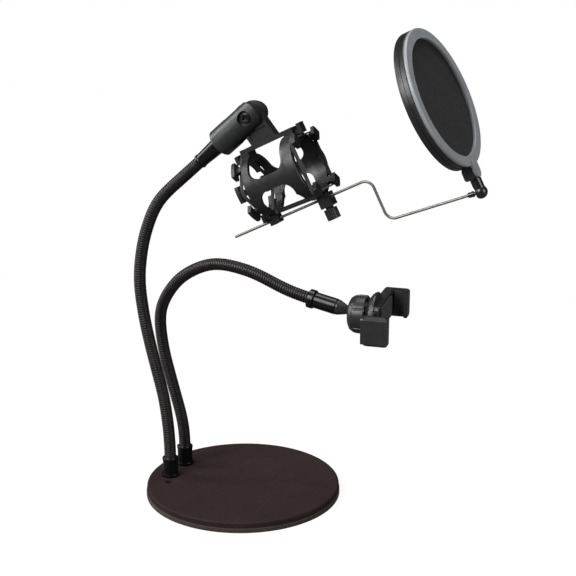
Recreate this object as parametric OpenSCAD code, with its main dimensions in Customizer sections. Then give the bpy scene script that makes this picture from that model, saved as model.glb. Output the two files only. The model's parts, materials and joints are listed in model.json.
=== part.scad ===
// Desktop stand for singing and streaming: a round weighted base carries two
// goosenecks. The first holds a cage shock mount with a bent wire arm and a
// pop filter on a ball. The second holds a ball-jointed phone clamp.
// Frame: origin at the centre of the base underside, +Z up, +X the way both
// arms reach (towards the speaker), Y across. Millimetres.

/* [Base] */
// Diameter of the weighted base
base_d = 152; // [140:1:180]
// Thickness of the steel base plate
plate_t = 4.6; // [4.4:0.1:7]
// Thickness of the soft pad under the plate
pad_t = 3.4; // [1.8:0.1:4]
// Distance of the gooseneck feet behind the base centre
foot_back = 57.5; // [50:0.5:60]
// Half the distance between the two gooseneck feet
foot_half = 12.8; // [11:0.1:16]
// Height of the two foot collars
collar_h = 16; // [13:0.5:20]

/* [Goosenecks] */
// Outside diameter of the flexible tube
neck_d = 9; // [8.6:0.1:9.4]
// Length of each section of the microphone gooseneck
seg1 = 32.5; // [30:0.5:36]
// Turn of each section of the microphone gooseneck, towards +X, in degrees
turn1 = [-6.5, -8.5, 2, 6, 16, 13, 27, -0.5]; // each -20 to 40
// Length of each section of the phone gooseneck
seg2 = 32.9; // [31:0.1:36]
// Turn of each section of the phone gooseneck, towards +X, in degrees
turn2 = [-15.5, 0.5, 9.5, 39.5, 28.5, 35, 15.5, -12]; // each -20 to 40
// Radius of the ball at the end of each section
link_ball = 3.4; // [3.2:0.05:3.5]

/* [Microphone clip] */
// Outside diameter of the clip barrel
barrel_d = 21.4; // [21:0.1:23]
// Distance from the barrel mouth to the tilt screw
pivot_h = 32; // [31:0.5:36]
// Distance from the tilt screw to the axis of the shock mount
pivot_drop = 48.2; // [46:0.1:52]
// Thickness of the tongue that the fork holds
tongue_t = 7.8; // [7:0.1:8.4]

/* [Shock mount] */
// Elevation of the microphone axis above level, in degrees
mic_elev = 26.5; // [20:0.5:35]
// Outside diameter of the rear ring
ring_rear_d = 47; // [46:0.5:50]
// Outside diameter of the front ring
ring_front_d = 51; // [50:0.5:54]
// Distance of the wire arm below the microphone axis
wire_drop = 26.8; // [26.6:0.1:28]

/* [Wire arm] */
// Diameter of the wire
wire_d = 2; // [1.8:0.1:2.2]
// Length of the first straight run
wire_a = 109; // [100:1:120]
// Length of the straight drop between the bends
wire_b = 18.5; // [12:0.5:30]
// Length of the last straight run, up to the ball centre
wire_c = 63.6; // [55:0.2:80]
// Inside bend radius plus half the wire
wire_bend = 7; // [5:0.5:9]

/* [Pop filter] */
// Diameter of the mesh opening
mesh_d = 85.2; // [80:0.4:96]
// Width of the front bezel ring
bezel_w = 7.2; // [6.8:0.1:9]
// Distance from the filter centre to the ball centre
filter_arm = 68.4; // [68.4:0.2:76]
// Elevation of the way the filter faces, in degrees
filter_elev = 25.9; // [15:0.1:35]
// Turn of the filter on its stem, in degrees
filter_turn = 2.6; // [-10:0.1:10]

/* [Phone clamp] */
// Gap between the jaw pads
jaw_gap = 72; // [66:1:76]
// Height of the jaws
jaw_h = 22; // [21:0.2:28]
// Turn of the clamp about the vertical, in degrees
clamp_yaw = 6; // [0:1:12]

/* [Hidden] */
$fn = 64;
overlap = 0.01;
neck_r = neck_d / 2;
neck_bore_r = neck_r + 0.05;
base_h = plate_t + pad_t;
mic_y = -foot_half;
phone_y = foot_half;

// colours shared by several nodes
collar_black = [0.06, 0.06, 0.065];
sleeve_black = [0.07, 0.07, 0.075];
stem_black = [0.09, 0.09, 0.095];
body_black = [0.10, 0.10, 0.105];
band_black = [0.08, 0.08, 0.085];
mesh_black = [0.05, 0.05, 0.055];
jaw_pad_black = [0.05, 0.05, 0.05];
brass = [0.72, 0.55, 0.28];

// ---- shared shapes
// rectangle with round corners
module rounded_rect(x0, y0, x1, y1, corner) {
  translate([x0 + corner, y0]) square([x1 - x0 - 2 * corner, y1 - y0]);
  translate([x0, y0 + corner]) square([x1 - x0, y1 - y0 - 2 * corner]);
  for (x = [x0 + corner, x1 - corner], y = [y0 + corner, y1 - corner])
    translate([x, y]) circle(r = corner);
}
// block centred across y
module block(x0, x1, width, z0, z1) {
  translate([x0, -width / 2, z0]) cube([x1 - x0, width, z1 - z0]);
}
// outline drawn in x and z, given a width centred across y
module across(width) {
  rotate([90, 0, 0]) linear_extrude(height = width, center = true) children();
}
// round bar centred across y
module cross_bar(radius, width) {
  rotate([90, 0, 0]) cylinder(r = radius, h = width, center = true);
}
// round bar running towards +x
module x_bar(radius, start, length) {
  translate(start) rotate([0, 90, 0]) cylinder(r = radius, h = length);
}
module tube(outer, bore, length) {
  difference() {
    cylinder(r = outer, h = length);
    translate([0, 0, -1]) cylinder(r = bore, h = length + 2);
  }
}
// round bar bent from the origin, leaving along +z, turning towards +x (turn > 0);
// extra carries both ends a little way on round the same arc
module bent_bar(length, turn, radius, extra) {
  if (abs(turn) < 0.05) translate([0, 0, -extra]) cylinder(r = radius, h = length + 2 * extra);
  else if (turn > 0) {
    bend_r = length * 180 / (PI * turn);
    extra_turn = extra * 180 / (PI * bend_r);
    translate([bend_r, 0, 0]) rotate([90, 0, 180]) rotate([0, 0, -extra_turn])
      rotate_extrude(angle = turn + 2 * extra_turn, $fn = 96)
        translate([bend_r, 0]) circle(r = radius);
  } else mirror([1, 0, 0]) bent_bar(length, -turn, radius, extra);
}

// ---- base
foot_screw_r = 2.95;
foot_screw_rise = 4.4;    // reach of the screws above the plate
screw_head_top = 2.2;     // above the plate underside
collar_socket = 10.6;     // depth of the tube socket in a foot collar

module at_feet() {
  for (y = [mic_y, phone_y]) translate([-foot_back, y, 0]) children();
}
module base_plate() {
  plate_r = base_d / 2 - 0.6;
  edge_r = 1.3;
  color([0.17, 0.14, 0.135]) difference() {
    translate([0, 0, pad_t]) rotate_extrude($fn = 180) {
      square([plate_r - 0.5, 1]);
      square([plate_r - edge_r, plate_t]);
      translate([plate_r - 2, 0.4]) square([2, plate_t - edge_r - 0.4]);
      translate([plate_r - edge_r, plate_t - edge_r]) circle(r = edge_r);
    }
    // head recesses and clearance holes of the neck screws
    at_feet() {
      translate([0, 0, pad_t - 1]) cylinder(r = 5.6, h = 3.7);
      cylinder(r = 3.2, h = base_h + 1);
    }
    // spare tapped hole for an accessory
    translate([-foot_back + 4.9, mic_y - 12.5, pad_t - 1]) cylinder(r = 3, h = plate_t + 2);
  }
}
module base_pad() {
  pad_r = base_d / 2;
  edge_r = 0.6;
  color([0.15, 0.13, 0.13]) rotate_extrude($fn = 180) {
    square([pad_r, pad_t - edge_r]);
    square([pad_r - edge_r, pad_t]);
    translate([pad_r - edge_r, pad_t - edge_r]) circle(r = edge_r);
  }
}
module neck_screws() {
  shank_z = pad_t + screw_head_top;
  color([0.45, 0.45, 0.46]) at_feet() difference() {
    union() {
      translate([0, 0, pad_t + 0.3]) cylinder(r = 5.2, h = 2.2);
      translate([0, 0, shank_z]) cylinder(r = foot_screw_r, h = base_h + foot_screw_rise - shank_z);
    }
    // hexagon socket in the underside
    translate([0, 0, pad_t]) cylinder(r = 2.2, h = 1.7, $fn = 6);
  }
}
module foot_collar(y) {
  color(collar_black) translate([-foot_back, y, base_h]) difference() {
    rotate_extrude() {
      // stepped flange at the bottom
      square([7, 1.8]);
      square([6.5, 2.4]);
      square([6, collar_h - 0.6]);
      // lip with a round edge at the top
      translate([4, collar_h - 2.2]) square([2.35, 1.6]);
      translate([5.3, collar_h - 0.8]) circle(r = 0.7);
      square([5.3, collar_h - 0.1]);
    }
    translate([0, 0, -overlap]) cylinder(r = foot_screw_r + 0.05, h = 8);
    translate([0, 0, collar_h - collar_socket]) cylinder(r = neck_bore_r, h = 12);
  }
}

// ---- goosenecks: every section is a straight lead, a circular arc and a
// straight lead, tangent to each other and to the next section.
// Joint 0 is at the foot; points are [x, z] and angles lean from +z towards +x.
sections = 8;
lead = 5;           // straight length at each end of a section
foot_insert = 10;   // tube below the first joint, inside the foot collar
end_insert = 9;     // tube beyond the last joint, inside the end sleeve
socket_lip = 1.2;   // tube reaching back past the ball of the section before
foot = [-foot_back, base_h + collar_h];

function heading(turns, joint) =
  joint <= 0 ? 0 : turns[joint - 1] + heading(turns, joint - 1);
function chord(arc, turn) = abs(turn) < 0.05 ? arc : 360 * arc / (PI * turn) * sin(turn / 2);
function along(angle, distance) = [distance * sin(angle), distance * cos(angle)];
function joint_at(turns, joint, length) = joint == 0 ? foot :
  let (start = heading(turns, joint - 1), turn = turns[joint - 1])
  joint_at(turns, joint - 1, length) + along(start, lead)
    + along(start + turn / 2, chord(length - 2 * lead, turn)) + along(start + turn, lead);

// local frame of a neck joint: z along the tube, x towards the inside of a forward bend
module neck_frame(turns, joint, length, y) {
  point = joint_at(turns, joint, length);
  translate([point[0], y, point[1]]) rotate([0, heading(turns, joint), 0]) children();
}
module neck_section(turns, number, length, y) {
  first = number == 1;
  last = number == sections;
  start = number - 1;
  back = first ? foot_insert : socket_lip;
  color([0.10, 0.09, 0.09]) {
    neck_frame(turns, start, length, y) difference() {
      translate([0, 0, -back]) cylinder(r = neck_r, h = lead + back);
      if (!first) sphere(r = link_ball + 0.06);
    }
    neck_frame(turns, start, length, y) translate([0, 0, lead])
      bent_bar(length - 2 * lead, turns[start], neck_r - 0.25, 1);
    neck_frame(turns, number, length, y) {
      translate([0, 0, -lead]) cylinder(r = neck_r, h = lead + (last ? end_insert : -3.2));
      // ball on a short neck
      if (!last) {
        translate([0, 0, -3.6]) cylinder(r = 2.2, h = 3.6);
        sphere(r = link_ball);
      }
    }
  }
}
module neck1_section(number) { neck_section(turn1, number, seg1, mic_y); }
module neck2_section(number) { neck_section(turn2, number, seg2, phone_y); }
// frames at the ends of the goosenecks, moved out along the tube
module at_end1(out = 0) {
  neck_frame(turn1, sections, seg1, mic_y) translate([0, 0, out]) children();
}
module at_end2() { neck_frame(turn2, sections, seg2, phone_y) children(); }

// ---- microphone clip
sleeve_l = 22;
spigot_r = 7.9;        // threaded end of the sleeve
insert_r = 9.3;
insert_h = 11.6;
pivot_screw_r = 2;
head_seat = 6.7;       // seats of the screw head and nut, either side of the middle

module at_pivot() { at_end1(sleeve_l + pivot_h) rotate([90, 0, 0]) children(); }
module neck1_sleeve() {
  color(sleeve_black) at_end1() difference() {
    rotate_extrude() {
      polygon([[0, 0], [5.2, 0], [5.5, 0.4], [5.5, 2], [5.15, 2.4],
        [6.2, sleeve_l - 1.2], [6.2, sleeve_l - 0.2], [0, sleeve_l - 0.2]]);
      translate([0, sleeve_l - 0.4]) square([spigot_r, insert_h]);
    }
    translate([0, 0, -overlap]) cylinder(r = neck_bore_r, h = 9.6);
  }
}
module clip_barrel() {
  barrel_r = barrel_d / 2;
  color([0.11, 0.115, 0.12]) at_end1(sleeve_l) difference() {
    union() {
      translate([0, 0, 0.8]) cylinder(r = barrel_r, h = 50);
      cylinder(r = barrel_r - 0.8, h = 1);
    }
    // full round end about the tilt screw
    difference() {
      block(-20, 20, 40, pivot_h, pivot_h + 30);
      translate([0, 0, pivot_h]) cross_bar(barrel_r + 0.2, 60);
    }
    // slot for the tongue
    block(-20, 20, tongue_t + 0.24, 14.8, 74.8);
    // seat of the brass insert
    translate([0, 0, -overlap]) cylinder(r = insert_r + 0.05, h = 12.3);
    // tilt screw, its head recess and the nut trap
    translate([0, 0, pivot_h]) rotate([90, 0, 0]) {
      cylinder(r = pivot_screw_r + 0.1, h = 40, center = true);
      translate([0, 0, head_seat]) cylinder(r = 5.5, h = 10);
      translate([0, 0, -head_seat - 10]) cylinder(r = 4.6, h = 10, $fn = 6);
    }
  }
}
module thread_insert() {
  color(brass) at_end1(sleeve_l + 0.3) tube(insert_r, spigot_r + 0.06, insert_h);
}
module pivot_screw() {
  color([0.2, 0.2, 0.21]) at_pivot() difference() {
    union() {
      translate([0, 0, -9.2]) cylinder(r = pivot_screw_r, h = 16.5);
      translate([0, 0, head_seat + 0.05]) cylinder(r = 3.7, h = 1.5);
      translate([0, 0, 8.2]) cylinder(r = 3.1, h = 0.6);
    }
    // cross slot
    for (a = [0, 90]) rotate([0, 0, a]) block(-2.3, 2.3, 1.1, 7.3, 10.3);
  }
}
module pivot_nut() {
  color([0.6, 0.6, 0.62]) at_pivot() translate([0, 0, -9.5]) difference() {
    cylinder(r = 4.45, h = 2.7, $fn = 6);
    translate([0, 0, -1]) cylinder(r = pivot_screw_r + 0.04, h = 5);
  }
}

// ---- shock mount frame: z along the microphone towards its head, x down, y across
pivot_back = 4.1;      // tilt screw behind the frame origin
rear_z = -20;          // end faces of the cage
front_z = 24.4;
rear_r = ring_rear_d / 2;
front_r = ring_front_d / 2;
rear_in = rear_r - 2.9;
front_in = front_r - 3.1;
hook_post = 3.4;       // height of a hook post beyond the end face
hook_head = 2.8;
thumb_z = 24;          // axis of the thumb screw
thumb_bore_r = 1.5;
bush_r = 2;

// unit directions of the frame's z and x, as [x, z]
mic_dir = [cos(mic_elev), sin(mic_elev)];
mic_down = [sin(mic_elev), -cos(mic_elev)];
pivot_at = joint_at(turn1, sections, seg1) + along(heading(turn1, sections), sleeve_l + pivot_h);
cage_at = pivot_at + pivot_back * mic_dir + pivot_drop * mic_down;
module cage_frame() {
  translate([cage_at[0], mic_y, cage_at[1]]) rotate([0, 90 - mic_elev, 0]) children();
}

// outline cut through the lower wall, drawn as [-z, y]
module lower_cut() {
  translate([10, 0, 0]) rotate([0, 90, 0]) linear_extrude(height = 30) children();
}
// T-shaped hook for the elastic: a post on the ring end and a curved head;
// way is 1 at the front and -1 at the rear
module hook(angle, inner, outer, end_z, way, width) {
  tip_z = end_z + way * hook_post;
  post_z = way > 0 ? end_z - 0.5 : tip_z;
  rotate([0, 0, angle]) {
    block(inner, inner + 3.1, 4.8, post_z, post_z + hook_post + 0.5);
    intersection() {
      translate([0, 0, way > 0 ? tip_z - overlap : tip_z - hook_head])
        tube(outer, inner, hook_head);
      block(5, 65, width, -60, 60);
    }
  }
}
module cage_shell() {
  difference() {
    rotate_extrude($fn = 96) polygon([
      // outside, rear to front
      [rear_in, rear_z], [rear_r - 0.6, rear_z], [rear_r, rear_z + 0.6], [rear_r, -14],
      [rear_r + 0.3, -11], [front_r - 0.8, 14], [front_r, 17], [front_r, front_z - 0.6],
      [front_r - 0.6, front_z],
      // inside, front to rear
      [front_in, front_z], [front_in, 17], [front_r - 3.6, 14], [rear_r - 2.4, -12],
      [rear_in, -14]]);
    // windows through both sides
    across(80) {
      rounded_rect(-34, -14, -5.2, 14.5, 7);
      rounded_rect(5.2, -13, 19.5, 14, 6.9);
      translate([-34, -14]) square([12, 28.5]);
    }
    // windows on each side of the lower rib
    lower_cut() for (y = [4, -19.5]) rounded_rect(-15.5, y, 14, y + 15.5, 4);
  }
}
module shock_cage() {
  color(body_black) cage_frame() difference() {
    union() {
      cage_shell();
      // top rib, raised clear of the rings, with its end posts
      block(-front_r - 3.2, -front_r, 13, rear_z, front_z);
      block(-rear_r - 2.6, -rear_r + 1.4, 13, rear_z, -14);
      block(-front_r - 1, -front_r + 1.2, 13, 17, front_z);
      // tongue for the clip fork
      across(tongue_t) polygon([[-pivot_drop, -14.3], [-pivot_drop, 6.1],
        [-front_r - 1, 10.7], [-front_r - 1, -10]]);
      translate([-pivot_drop, 0, -pivot_back]) cross_bar(10.2, tongue_t);
      // elastic hooks
      for (a = [0:45:315]) hook(a, rear_in, rear_r + 2.9, rear_z, -1, 12.4);
      for (a = [45, 135, 180, 225, 315]) hook(a, front_in, front_r + 4.2, front_z, 1, 8);
      // rear and front wire clamps
      block(rear_r - 2, wire_drop + 2.9, 7.2, rear_z, -14.6);
      block(wire_drop - 0.2, wire_drop + 3.2, 6.4, -23, -18);
      block(front_r - 2, wire_drop + 6.6, 10, 19.4, 29);
    }
    // sunk panels of the tongue
    for (s = [-1, 1]) translate([0, s * (tongue_t / 2 - 0.7), 0])
      across(1.42) polygon([[-38, -10], [-38, 5.5], [-31.5, 7.3], [-31.5, -8.4]]);
    translate([-pivot_drop, 0, -pivot_back]) cross_bar(pivot_screw_r + 0.08, 20);
    // long slot of the lower rib
    lower_cut() rounded_rect(-11, -1.5, 9, 1.5, 1.45);
    // wire bore, grip bush seat, thumb screw bore and insert seat
    translate([wire_drop, 0, -40]) cylinder(r = wire_d / 2 + 0.06, h = 90);
    translate([wire_drop, 0, 19]) cylinder(r = bush_r + 0.06, h = 12);
    x_bar(thumb_bore_r, [wire_drop, 0, thumb_z], 12);
    x_bar(2.85, [wire_drop + 2.3, 0, thumb_z], 12);
  }
}
// square loop of flat elastic whose rounded corners bear on posts out to post_r
module elastic_loop(post_r, corner, z0) {
  thickness = 1.2;
  inside = (post_r - corner) / sqrt(2) + corner;
  outside = inside + thickness;
  translate([0, 0, z0]) linear_extrude(height = 3) difference() {
    rounded_rect(-outside, -outside, outside, outside, corner + thickness);
    rounded_rect(-inside, -inside, inside, inside, corner);
  }
}
module rear_band() {
  color(band_black) cage_frame() rotate([0, 0, 45]) elastic_loop(rear_r + 0.85, 6, -23.2);
}
module front_band() { color(band_black) cage_frame() elastic_loop(front_r + 1.45, 3, 24.6); }
// thumb screw axis: z outwards from the wire
module thumb_frame() {
  cage_frame() translate([wire_drop, 0, thumb_z]) rotate([0, 90, 0]) children();
}
module clamp_insert() {
  color(brass) thumb_frame() translate([0, 0, 2.4]) tube(2.8, thumb_bore_r, 4.1);
}
module thumb_screw() {
  color([0.12, 0.12, 0.125]) thumb_frame() {
    translate([0, 0, 2.1]) cylinder(r = 1.44, h = 7);
    // fluted head on a short collar
    difference() {
      union() {
        translate([0, 0, 6.8]) cylinder(r = 3, h = 1.8);
        translate([0, 0, 8.2]) cylinder(r = 5, h = 8);
      }
      for (a = [0:30:330]) rotate([0, 0, a])
        translate([5.3, 0, 7]) cylinder(r = 0.75, h = 10, $fn = 24);
    }
  }
}
module grip_bush() {
  color([0.55, 0.45, 0.25]) cage_frame() translate([wire_drop, 0, 19.8])
    tube(bush_r, wire_d / 2 + 0.05, 8.8);
}

// ---- wire arm: forward, down and forward again, each frame with z along the wire
second_bend = 85;     // degrees; the first bend is 90
wire_tail_z = -55;    // rear end of the wire, in the shock mount frame
wire_r = wire_d / 2;
tip_ball_r = 3.2;

module wire_start() { cage_frame() translate([wire_drop, 0, wire_tail_z]) children(); }
module first_bend_start() { wire_start() translate([0, 0, wire_a]) children(); }
module drop_start() {
  first_bend_start() translate([wire_bend, 0, wire_bend]) rotate([0, 90, 0]) children();
}
module second_bend_start() { drop_start() translate([0, 0, wire_b]) children(); }
module last_run_start() {
  second_bend_start()
    translate([-wire_bend * (1 - cos(second_bend)), 0, wire_bend * sin(second_bend)])
    rotate([0, -second_bend, 0]) children();
}
module ball_frame() { last_run_start() translate([0, 0, wire_c]) children(); }
module wire_curve(turn) {
  bent_bar(wire_bend * PI * abs(turn) / 180, turn, wire_r - 0.03, 0.3);
}
module wire_arm() {
  color([0.62, 0.60, 0.58]) {
    wire_start() cylinder(r = wire_r, h = wire_a);
    first_bend_start() wire_curve(90);
    drop_start() cylinder(r = wire_r, h = wire_b);
    second_bend_start() wire_curve(-second_bend);
    last_run_start() cylinder(r = wire_r, h = wire_c + 1.2);
  }
}
module wire_ferrule() {
  color(sleeve_black) ball_frame() translate([0, 0, -9.4]) difference() {
    rotate_extrude() polygon([[0, 0], [1.4, 0], [1.85, 0.5], [1.85, 3], [0, 3]]);
    translate([0, 0, -1]) cylinder(r = wire_r + 0.02, h = 6);
  }
}
module ball_tip() {
  color(sleeve_black) ball_frame() difference() {
    union() {
      sphere(r = tip_ball_r);
      translate([0, 0, -6.2]) cylinder(r = 1.32, h = 5);
      translate([0, 0, -6.2]) cylinder(r = 2.1, h = 1.1);
    }
    translate([0, 0, -8]) cylinder(r = wire_r + 0.06, h = 9.6);
  }
}

// ---- pop filter frame: z the way the filter faces, x down towards the ball
stem_z = 0.3;
mesh_r = mesh_d / 2;
rim_r = mesh_r + bezel_w;
disc_r = rim_r - 2.1;     // meshes and spacer inside the rim
stem_r = 2.1;

// ball centre in the plane of the wire
ball_forward = wire_tail_z + wire_a + wire_bend + wire_bend * (1 - cos(second_bend))
  + wire_c * sin(second_bend);
ball_down = wire_drop + wire_bend + wire_b + wire_bend * sin(second_bend)
  + wire_c * cos(second_bend);
ball_at = cage_at + ball_forward * mic_dir + ball_down * mic_down;

module filter_frame() {
  translate([ball_at[0], mic_y, ball_at[1]]) rotate([0, 90 - filter_elev, 0])
    translate([-filter_arm, 0, -stem_z]) children();
}
// the filter itself, turned a little on its stem
module turned_frame() {
  filter_frame() translate([0, 0, stem_z]) rotate([filter_turn, 0, 0])
    translate([0, 0, -stem_z]) children();
}
module filter_stem() {
  stem_end = filter_arm - 1;
  color(stem_black) difference() {
    filter_frame() {
      translate([filter_arm, 0, stem_z]) sphere(r = 4.7);
      x_bar(stem_r, [rim_r + 3.7, 0, stem_z], stem_end - rim_r - 3.7);
      x_bar(3.9, [rim_r + 9.1, 0, stem_z], stem_end - rim_r - 9.1);
    }
    filter_frame() translate([filter_arm, 0, stem_z]) sphere(r = tip_ball_r + 0.06);
    // mouth for the wire
    ball_frame() rotate([180, 0, 0]) rotate_extrude() polygon([[0, 0], [7 * tan(52), 7], [0, 7]]);
  }
}
module rim_rear() {
  color(sleeve_black) turned_frame() difference() {
    union() {
      rotate_extrude($fn = 160) polygon([
        // outer wall with a fine groove
        [rim_r - 2, 0.8], [rim_r - 0.2, 0.8], [rim_r, 0.6], [rim_r, -2], [rim_r - 0.5, -2.1],
        [rim_r - 0.5, -2.5], [rim_r, -2.6], [rim_r, -5.9], [rim_r - 0.3, -6.5],
        // rear flange
        [rim_r - 0.9, -6.8], [mesh_r + 0.5, -6.8], [mesh_r, -6.3], [mesh_r, -5.2],
        [rim_r - 2, -5.2]]);
      // stem lug
      block(rim_r - 1, rim_r + 2.5, 10.4, -4.7, 0.5);
      across(11.6) rounded_rect(rim_r + 0.1, -5.1, rim_r + 8.7, 2.5, 1.9);
    }
    x_bar(stem_r + 0.06, [rim_r + 3, 0, stem_z], 12);
  }
}
module front_bezel() {
  bead_r = 0.95;
  bead_in = mesh_r - 0.3;
  color([0.42, 0.43, 0.44]) turned_frame() {
    rotate_extrude($fn = 160) {
      translate([mesh_r, 0.85]) square([rim_r - mesh_r - 1, 2.6]);
      translate([bead_in, 1.8]) square([rim_r - bead_in, 0.7]);
      for (x = [bead_in + bead_r, rim_r - bead_r], y = [1.8, 2.5])
        translate([x, y]) circle(r = bead_r);
    }
    // round-ended tab over the stem lug
    block(rim_r - 3, rim_r + 3.8, 10.2, 2.55, 4.45);
    translate([rim_r + 3.8, 0, 2.55]) cylinder(r = 5.1, h = 1.9);
  }
}
module spacer_ring() {
  color([0.15, 0.15, 0.15]) turned_frame() translate([0, 0, -4.7])
    tube(disc_r, mesh_r + 0.6, 4.8, $fn = 160);
}
module mesh_disc(z) {
  color(mesh_black) turned_frame() translate([0, 0, z])
    cylinder(r = disc_r, h = 0.4, $fn = 160);
}
module rear_mesh() { mesh_disc(-5.15); }
module front_mesh() { mesh_disc(0.2); }

// ---- end of the phone gooseneck
ball_l = 41;          // from the last joint to the ball centre
phone_ball_r = 8;
stud_r = 2.9;
ball2_at = joint_at(turn2, sections, seg2) + along(heading(turn2, sections), ball_l);

module neck2_end_ring() {
  edge_r = 0.6;
  color(collar_black) at_end2() difference() {
    rotate_extrude() {
      square([6.6, 4.8]);
      translate([0, edge_r]) square([7.2, 3.6]);
      for (z = [edge_r, 4.2]) translate([6.6, z]) circle(r = edge_r);
    }
    translate([0, 0, -1]) cylinder(r = 5.25, h = 8);
  }
}
module neck2_end_sleeve() {
  color(sleeve_black) at_end2() difference() {
    rotate_extrude() polygon([[0, 0.4], [5.2, 0.4], [5.2, 5], [5.7, 5], [6.1, 5.4],
      [6.1, 22.4], [5.6, 23], [0, 23]]);
    cylinder(r = neck_bore_r, h = 12);
    cylinder(r = stud_r + 0.05, h = 40);
  }
}
module ball_stud() {
  color(stem_black) at_end2() {
    rotate_extrude() polygon([[0, 14], [stud_r, 14], [stud_r, 23.1], [5.8, 23.1], [5.8, 24.2],
      [3.9, 29.6], [3.3, 31], [3, 32], [3, ball_l - 5], [0, ball_l - 5]]);
    translate([0, 0, ball_l]) sphere(r = phone_ball_r);
  }
}

// ---- phone clamp frame: origin at the ball centre, x the way the phone faces,
// y across, z up
half_jaw = jaw_h / 2;
half_gap = jaw_gap / 2;
jaw_x = 29.6;         // front of the jaw plates
body_x0 = 10.4;       // back and front of the clamp body
body_x1 = 16;
body_side = half_gap + 5.5;
rod_x = 13.2;
rod_z = 5.8;          // guide rods above and below the middle
rod_r = 1.5;

module clamp_frame() {
  translate([ball2_at[0], phone_y, ball2_at[1]]) rotate([0, 0, clamp_yaw]) children();
}
// block rounded in the y-z plane, faces square to x, centred on z = 0
module yz_block(x0, x1, y0, y1, half_z, corner) {
  translate([x0, 0, 0]) rotate([90, 0, 90]) linear_extrude(height = x1 - x0)
    rounded_rect(y0, -half_z, y1, half_z, corner);
}
// block rounded in the x-z plane, faces square to y, centred on z = 0
module xz_block(x0, x1, y0, y1, half_z, corner) {
  translate([0, y1, 0]) rotate([90, 0, 0]) linear_extrude(height = y1 - y0)
    rounded_rect(x0, -half_z, x1, half_z, corner);
}
// jaw on the +y side: a plate, its outer edges cut back above and below, and a hooked lip
module jaw(x0) {
  cut_y = half_gap + 2.8;
  outer_y = half_gap + 7;
  edge_z = half_jaw + 1;
  outer_z = half_jaw - 3.2;
  intersection() {
    xz_block(x0, jaw_x, half_gap + 1, half_gap + 6, half_jaw, 2.2);
    rotate([90, 0, 90]) linear_extrude(height = 60) polygon([[half_gap, -edge_z],
      [cut_y, -edge_z], [outer_y, -outer_z], [outer_y, outer_z], [cut_y, edge_z],
      [half_gap, edge_z]]);
  }
  xz_block(26.5, jaw_x + 0.1, half_gap - 3, half_gap + 3.4, half_jaw - 0.2, 1.2);
}
module jaw_pad() {
  xz_block(18.8, 26.2, half_gap, half_gap + 0.95, half_jaw - 1.4, 2);
}
// the two guide rods or their bores, running from y towards -y
module rod_pair(radius, y, length) {
  for (s = [-1, 1]) translate([rod_x, y, s * rod_z]) rotate([90, 0, 0])
    cylinder(r = radius, h = length);
}
// the four cover screws or their holes
module cover_screw_set(radius, x, length) {
  for (s = [-1, 1], y = [-11.8, half_gap - 2.6])
    x_bar(radius, [x, y, s * (half_jaw - 2.5)], length);
}
// split socket: grips the ball when the lock nut closes its fingers
module ball_socket() {
  color(body_black) clamp_frame() difference() {
    rotate([0, 90, 0]) rotate_extrude() difference() {
      polygon([[0, -5.2], [10.2, -5.2], [10.6, -4.8], [10.6, 6.8], [11.4, 7], [15.9, 10.1],
        [0, 10.1]]);
      circle(r = phone_ball_r + 0.06, $fn = 128);
      polygon([[0, 0], [9 * tan(50), -9], [0, -9]]);
    }
    for (a = [45, 135]) rotate([a, 0, 0]) block(-7, 2, 1.2, -14, 14);
  }
}
module clamp_housing() {
  color(body_black) clamp_frame() difference() {
    union() {
      // round seat for the ball socket
      rotate([0, 90, 0]) rotate_extrude()
        polygon([[0, 10.15], [16, 10.15], [17.5, 12.2], [17.5, 13.6], [0, 13.6]]);
      yz_block(body_x0, body_x1, -14, body_side, half_jaw - 1, 3);
      // fixed jaw
      jaw(10.3);
    }
    // room for the slide, closed by the cover
    yz_block(11.4, 17, -9.5, half_gap - 5, 8.2, 2);
    rod_pair(rod_r + 0.06, -7, 13);
    cover_screw_set(0.9, 12.5, 5);
  }
}
module clamp_cover() {
  color(stem_black) clamp_frame() difference() {
    yz_block(16.05, 17.4, -13.8, half_gap - 0.4, half_jaw - 1.2, 3);
    cover_screw_set(1, 15, 4);
  }
}
module cover_screws() {
  color([0.4, 0.4, 0.42]) clamp_frame() cover_screw_set(0.86, 12.6, 4.6);
}
module back_pad() {
  color([0.06, 0.06, 0.06]) clamp_frame() yz_block(17.45, 18.6, -9, half_gap - 7, 8, 3);
}
module fixed_jaw_pad() { color(jaw_pad_black) clamp_frame() jaw_pad(); }
module sliding_jaw() {
  color([0.11, 0.11, 0.115]) clamp_frame() mirror([0, 1, 0]) difference() {
    union() {
      jaw(12.4);
      yz_block(body_x0, body_x1, 32.2, body_side, half_jaw - 1, 2);
    }
    rod_pair(rod_r + 0.02, half_gap + 4, 40);
  }
}
module sliding_jaw_pad() { color(jaw_pad_black) clamp_frame() mirror([0, 1, 0]) jaw_pad(); }
module guide_rods() {
  color([0.7, 0.7, 0.72]) clamp_frame() rod_pair(rod_r, 16.2, half_gap + 16.2 + 3.8);
}
module rod_bridge() {
  color([0.3, 0.3, 0.31]) clamp_frame() difference() {
    yz_block(11.6, 15, 12.6, 16, 8, 1.5);
    rod_pair(rod_r + 0.03, 30, 40);
  }
}
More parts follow.
